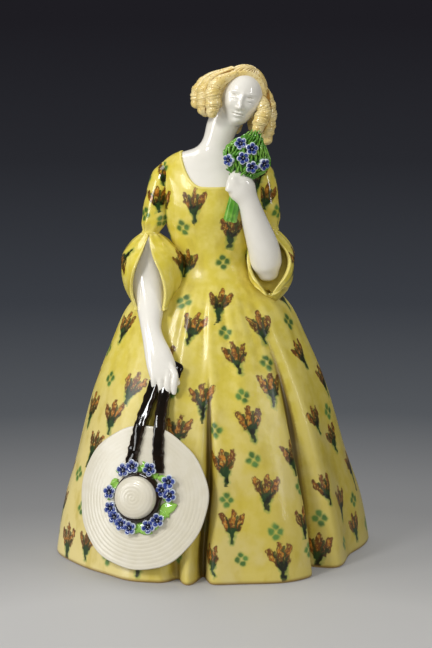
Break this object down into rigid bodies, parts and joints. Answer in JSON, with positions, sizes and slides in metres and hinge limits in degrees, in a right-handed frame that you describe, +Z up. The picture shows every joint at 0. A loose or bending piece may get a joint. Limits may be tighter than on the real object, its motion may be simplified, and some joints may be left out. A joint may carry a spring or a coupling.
{
  "type": "figurine",
  "caption": "Glazed earthenware lady in a wide hollow bell skirt with bodice and split cuffs, one hand raised with a posy, the other lowered to a ribboned straw hat.",
  "frame": {"origin": "middle of the footprint of the whole figure, on the ground under the hem of the skirt", "axes": "+Z up the figure, -Y towards the front, where she faces, +X to the viewer's right"},
  "size_m": [0.1964, 0.1708, 0.2991],
  "materials": {
    "yellow_glaze": "glossy",
    "white_glaze": "glossy",
    "straw_glaze": "glossy",
    "hair_glaze": "glossy",
    "black_glaze": "glossy",
    "green_glaze": "glossy",
    "blue_glaze": "glossy"
  },
  "bodies": {
    "root": {"skirt": "yellow_glaze", "bodice": "yellow_glaze", "right_sleeve": "yellow_glaze", "left_sleeve": "yellow_glaze", "head": "white_glaze", "neck_and_chest": "white_glaze", "hair_cap": "hair_glaze", "right_curl_1": "hair_glaze", "right_curl_2": "hair_glaze", "right_curl_3": "hair_glaze", "right_curl_4": "hair_glaze", "left_curl_1": "hair_glaze", "left_curl_2": "hair_glaze", "left_curl_3": "hair_glaze", "back_curl_1": "hair_glaze", "back_curl_2": "hair_glaze", "back_curl_3": "hair_glaze", "hat_brim": "straw_glaze", "hat_crown": "straw_glaze", "hat_band": "black_glaze", "wreath_leaf_1": "green_glaze", "wreath_leaf_2": "green_glaze", "wreath_leaf_3": "green_glaze", "wreath_leaf_4": "green_glaze", "wreath_leaf_5": "green_glaze", "wreath_leaf_6": "green_glaze", "wreath_flower_1": "blue_glaze", "wreath_flower_2": "blue_glaze", "wreath_flower_3": "blue_glaze", "wreath_flower_4": "blue_glaze", "wreath_flower_5": "blue_glaze", "wreath_flower_6": "blue_glaze", "wreath_flower_7": "blue_glaze", "wreath_flower_8": "blue_glaze", "wreath_flower_9": "blue_glaze", "wreath_flower_10": "blue_glaze", "wreath_flower_11": "blue_glaze", "wreath_flower_12": "blue_glaze", "wreath_flower_13": "blue_glaze", "right_forearm": "white_glaze", "ribbon_1": "black_glaze", "ribbon_2": "black_glaze", "ribbon_bow": "black_glaze", "left_forearm": "white_glaze", "posy_stems": "green_glaze", "posy_leaves": "green_glaze", "posy_flower_1": "blue_glaze", "posy_flower_2": "blue_glaze", "posy_flower_3": "blue_glaze", "posy_flower_4": "blue_glaze", "posy_flower_5": "blue_glaze", "posy_flower_6": "blue_glaze", "right_knot": "yellow_glaze", "right_cuff": "yellow_glaze", "left_knot": "yellow_glaze", "left_cuff": "yellow_glaze"}
  },
  "joints": []
}
